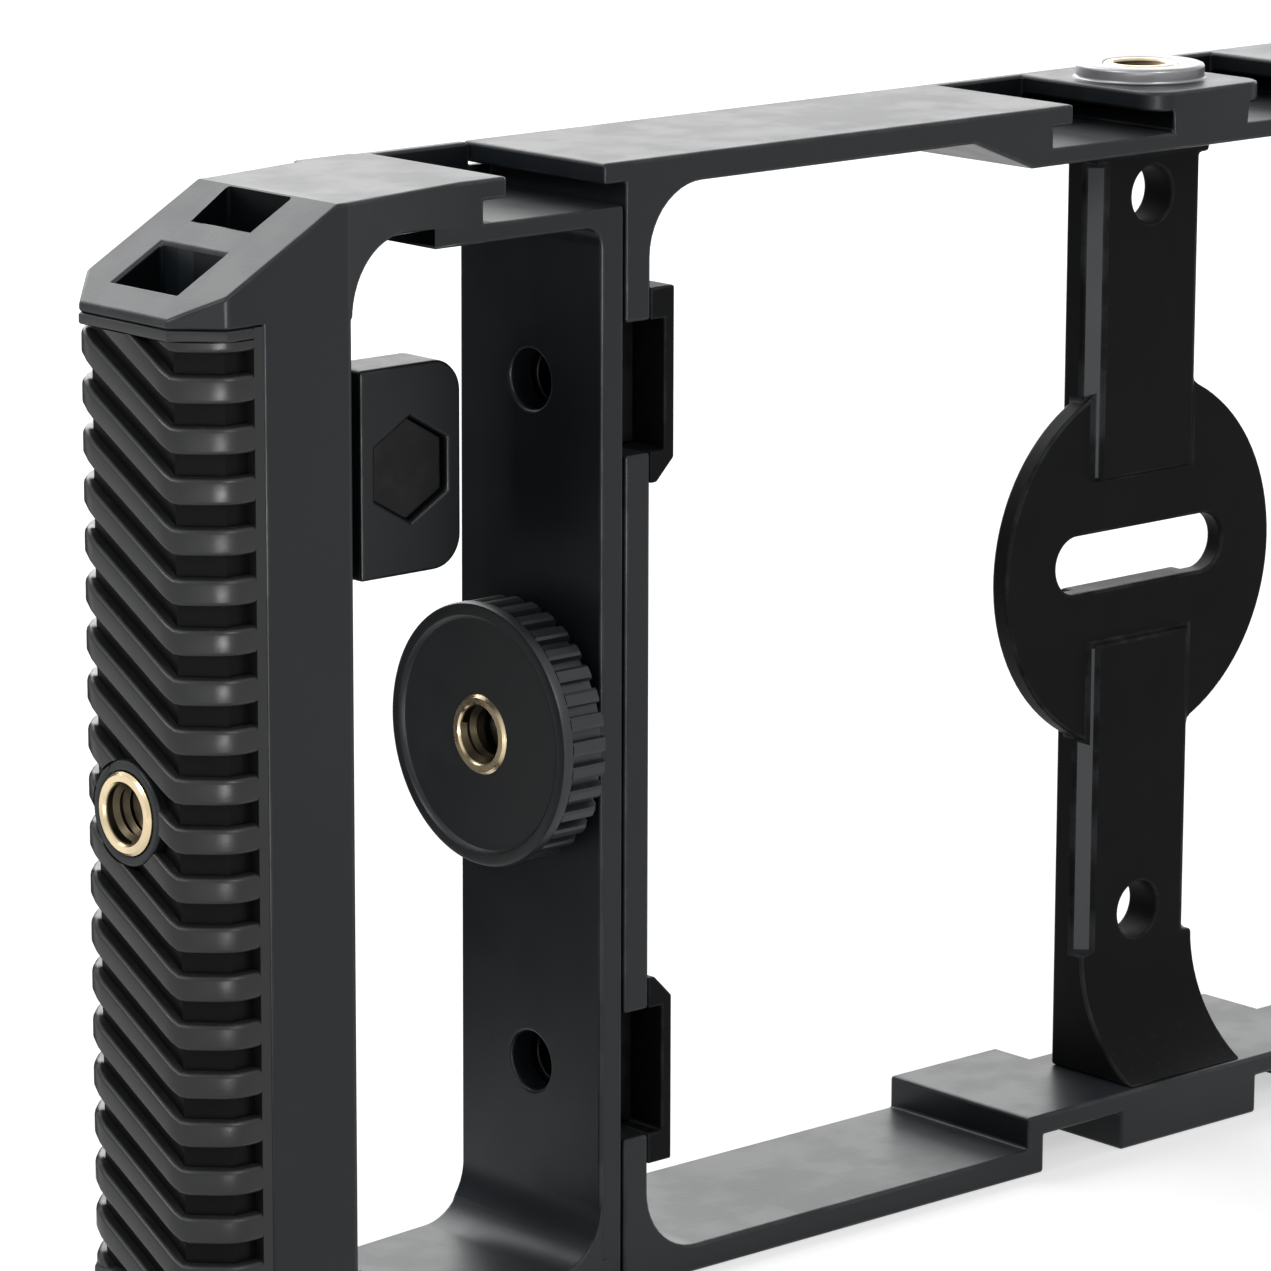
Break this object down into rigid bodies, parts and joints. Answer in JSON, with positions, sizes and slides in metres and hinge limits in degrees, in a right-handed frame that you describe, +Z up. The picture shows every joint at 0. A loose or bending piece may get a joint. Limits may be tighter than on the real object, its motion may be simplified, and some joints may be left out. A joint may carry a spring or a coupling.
{
  "type": "phone cage",
  "caption": "Open rectangular phone cage with ribbed side grips, thumb knobs that lock the grips, cold shoes along the top, a slotted clamp post and threaded accessory sockets.",
  "frame": {"origin": "mouth of the tripod socket, in the plane that the cage stands on", "axes": "+X along the cage to the right grip, +Y from the front to the back, +Z up"},
  "size_m": [0.2916, 0.0284, 0.1227],
  "materials": {
    "grip": "satin black moulding",
    "sleeve": "matt black ribbed rubber",
    "frame": "satin black moulding",
    "keeper": "satin black moulding",
    "knob": "fine matt black",
    "brass": "machined pale brass",
    "steel": "zinc-plated steel",
    "black_steel": "black-oxide steel"
  },
  "bodies": {
    "cage": {"center_frame": "frame", "center_post": "frame", "post_screws": "steel", "tripod_insert": "brass", "top_insert": "brass", "left_grip_frame": "grip", "left_grip_sleeve": "sleeve", "left_grip_insert": "brass", "left_lug_nut": "black_steel", "left_upper_keeper": "keeper", "left_lower_keeper": "keeper", "left_wall_nuts": "black_steel", "left_lock_bush": "brass", "right_grip_frame": "grip", "right_grip_sleeve": "sleeve", "right_grip_insert": "brass", "right_lug_nut": "black_steel", "right_upper_keeper": "keeper", "right_lower_keeper": "keeper", "right_wall_nuts": "black_steel", "right_lock_bush": "brass"},
    "left_washer": {"left_knob_washer": "steel"},
    "left_knob": {"left_knob": "knob", "left_knob_insert": "brass", "left_knob_stud": "steel"},
    "right_washer": {"right_knob_washer": "steel"},
    "right_knob": {"right_knob": "knob", "right_knob_insert": "brass", "right_knob_stud": "steel"}
  },
  "joints": [
    {"name": "left_knob_travel", "type": "slide", "parent": "cage", "child": "left_washer", "axis": [-1, 0, 0], "range_m": [0, 0.00382]},
    {"name": "left_knob_turn", "type": "hinge", "parent": "left_washer", "child": "left_knob", "pos_m": [-0.0905, 0, 0.0605], "axis": [-1, 0, 0], "range_deg": [0, 1080]},
    {"name": "right_knob_travel", "type": "slide", "parent": "cage", "child": "right_washer", "axis": [1, 0, 0], "range_m": [0, 0.00382]},
    {"name": "right_knob_turn", "type": "hinge", "parent": "right_washer", "child": "right_knob", "pos_m": [0.0905, 0, 0.0605], "axis": [1, 0, 0], "range_deg": [0, 1080]}
  ],
  "couplings": [
    {"joint": "left_knob_travel", "follows": "left_knob_turn", "m_per_rad": 0.00020213},
    {"joint": "right_knob_travel", "follows": "right_knob_turn", "m_per_rad": 0.00020213}
  ]
}
